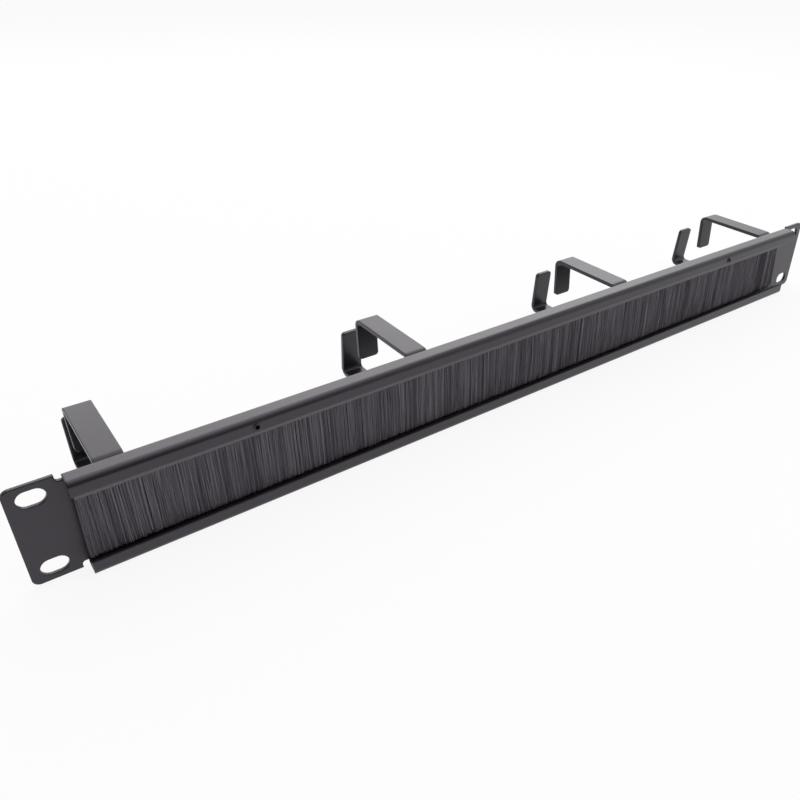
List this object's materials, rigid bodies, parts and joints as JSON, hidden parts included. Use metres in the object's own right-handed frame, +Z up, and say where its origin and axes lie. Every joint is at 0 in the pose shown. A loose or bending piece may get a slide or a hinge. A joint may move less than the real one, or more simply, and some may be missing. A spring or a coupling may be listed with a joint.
{
  "type": "rack brush strip panel",
  "caption": "Rack panel of folded black steel with a hanging brush strip over its cable windows and open cable rings of flat steel behind it.",
  "frame": {"origin": "centre of the four rack slots, on the rear faces of the ears, which seat on the rack's rails", "axes": "+X along the panel to the right as seen from the front, +Y into the rack, +Z up"},
  "size_m": [0.4826, 0.0758, 0.0436],
  "materials": {
    "powder_coated_steel": "fine satin powder coat",
    "holder_aluminium": "black anodised",
    "wire_steel": "drawn wire",
    "bristle_nylon": "matte filaments"
  },
  "bodies": {
    "root": {"front_panel": "powder_coated_steel", "brush_holder": "holder_aluminium", "brush_core_wire": "wire_steel", "brush_bristles": "bristle_nylon", "cable_ring_1": "powder_coated_steel", "cable_ring_2": "powder_coated_steel", "cable_ring_3": "powder_coated_steel", "cable_ring_4": "powder_coated_steel"}
  },
  "joints": []
}
